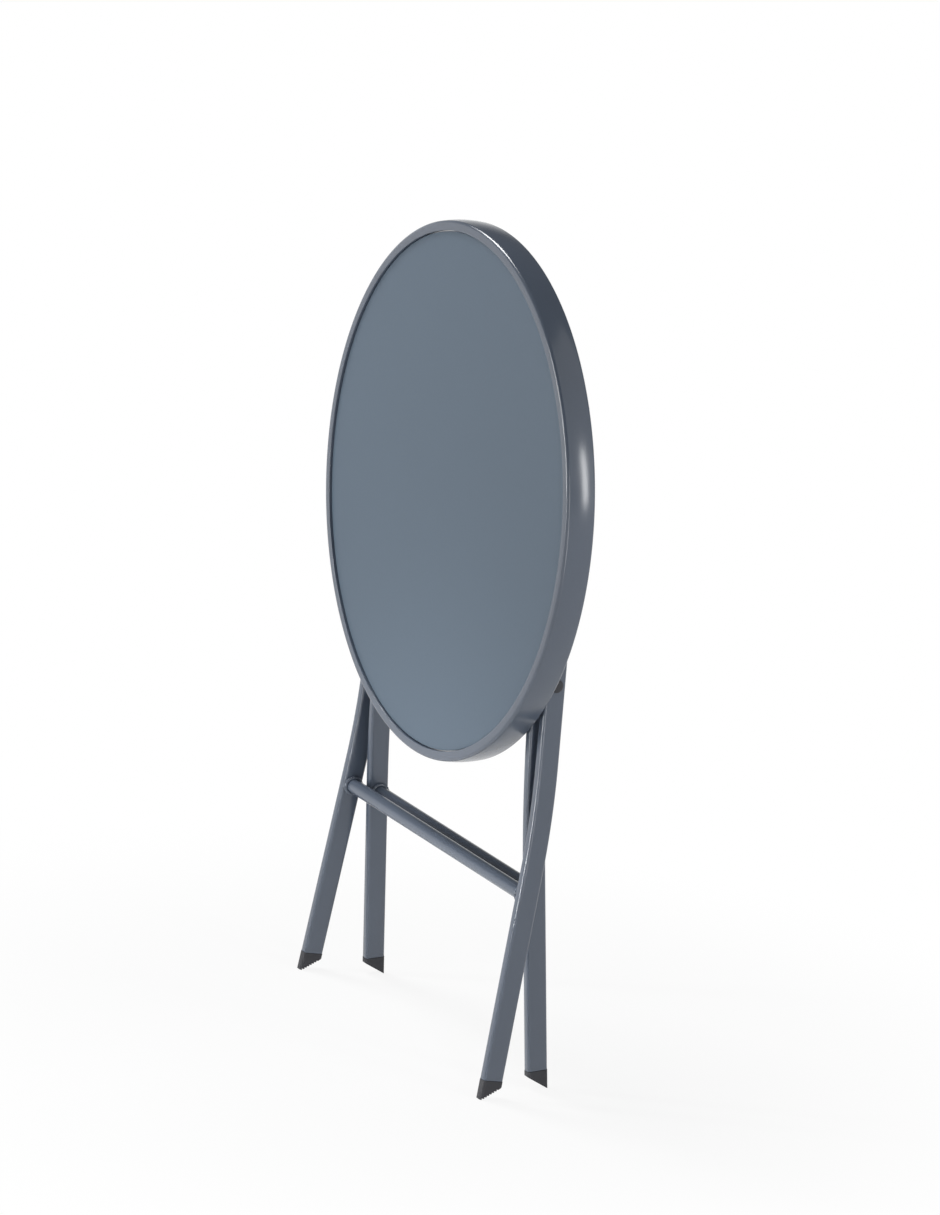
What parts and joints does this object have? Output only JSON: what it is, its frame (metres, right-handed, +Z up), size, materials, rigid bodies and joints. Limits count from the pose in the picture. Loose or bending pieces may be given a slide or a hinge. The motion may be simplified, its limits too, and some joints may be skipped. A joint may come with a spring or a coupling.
{
  "type": "folding bistro table",
  "caption": "Folding bistro table, folded flat: round grey glass top in a steel rim, crossed tube leg frames on scissor pivots, catches under the top that hold it open.",
  "frame": {"origin": "on the floor, under the middle of the folded table's bounding box", "axes": "+Z up, X along the hinge and pivot axes, -Y the way the glass faces while the table is folded"},
  "size_m": [0.606, 0.0984, 0.9357],
  "materials": {
    "grey_paint": "satin powder coat",
    "grey_glass": "opaque back-painted glass, satin",
    "black_plastic": "moulded, matt",
    "clear_silicone": "clear soft pads",
    "zinc": "zinc plated"
  },
  "bodies": {
    "pivots": {"pivot_bolt_left": "zinc", "pivot_bolt_right": "zinc", "pivot_cap_left": "black_plastic", "pivot_cap_right": "black_plastic", "pivot_spacer_left": "black_plastic", "pivot_spacer_right": "black_plastic"},
    "outer_frame": {"front_crossbar": "grey_paint", "front_foot_left": "black_plastic", "front_foot_right": "black_plastic", "front_weld_left": "grey_paint", "front_weld_right": "grey_paint", "outer_leg_left": "grey_paint", "outer_leg_right": "grey_paint", "outer_plug_left": "black_plastic", "outer_plug_right": "black_plastic"},
    "tabletop": {"catch_left": "black_plastic", "catch_rail": "grey_paint", "catch_right": "black_plastic", "catch_screw_left": "zinc", "catch_screw_right": "zinc", "glass_pad_lower_left": "clear_silicone", "glass_pad_lower_right": "clear_silicone", "glass_pad_upper_left": "clear_silicone", "glass_pad_upper_right": "clear_silicone", "glass_top": "grey_glass", "hinge_bolt_left": "zinc", "hinge_bolt_right": "zinc", "hinge_bracket_left": "grey_paint", "hinge_bracket_right": "grey_paint", "hinge_nut_left": "zinc", "hinge_nut_right": "zinc", "hinge_rail": "grey_paint", "top_rim": "grey_paint"},
    "sleeves": {"bar_sleeve_left": "black_plastic", "bar_sleeve_right": "black_plastic"},
    "inner_frame": {"inner_leg_left": "grey_paint", "inner_leg_right": "grey_paint", "inner_plug_left": "black_plastic", "inner_plug_right": "black_plastic", "pivot_nut_left": "zinc", "pivot_nut_right": "zinc", "rear_crossbar": "grey_paint", "rear_foot_left": "black_plastic", "rear_foot_right": "black_plastic", "rear_weld_left": "grey_paint", "rear_weld_right": "grey_paint", "top_bar": "grey_paint", "top_weld_left": "grey_paint", "top_weld_right": "grey_paint"}
  },
  "joints": [
    {"name": "outer_spread", "type": "hinge", "parent": "pivots", "child": "outer_frame", "pos_m": [0, 0.001, 0.466], "axis": [1, 0, 0], "range_deg": [-28, 0]},
    {"name": "tabletop_fold", "type": "hinge", "parent": "outer_frame", "child": "tabletop", "pos_m": [0, 0.001, 0.7607], "axis": [1, 0, 0], "range_deg": [-62, 0]},
    {"name": "sleeve_slide", "type": "slide", "parent": "tabletop", "child": "sleeves", "axis": [0, 0, -1], "range_m": [0, 0.28436]},
    {"name": "bar_turn", "type": "hinge", "parent": "sleeves", "child": "inner_frame", "pos_m": [0, -0.0013, 0.76453], "axis": [1, 0, 0], "range_deg": [0, 118]}
  ],
  "couplings": [
    {"joint": "tabletop_fold", "follows": "outer_spread", "ratio": 2.2143},
    {"joint": "sleeve_slide", "follows": "outer_spread", "m_per_rad": -0.58188},
    {"joint": "bar_turn", "follows": "outer_spread", "ratio": -4.2143}
  ]
}
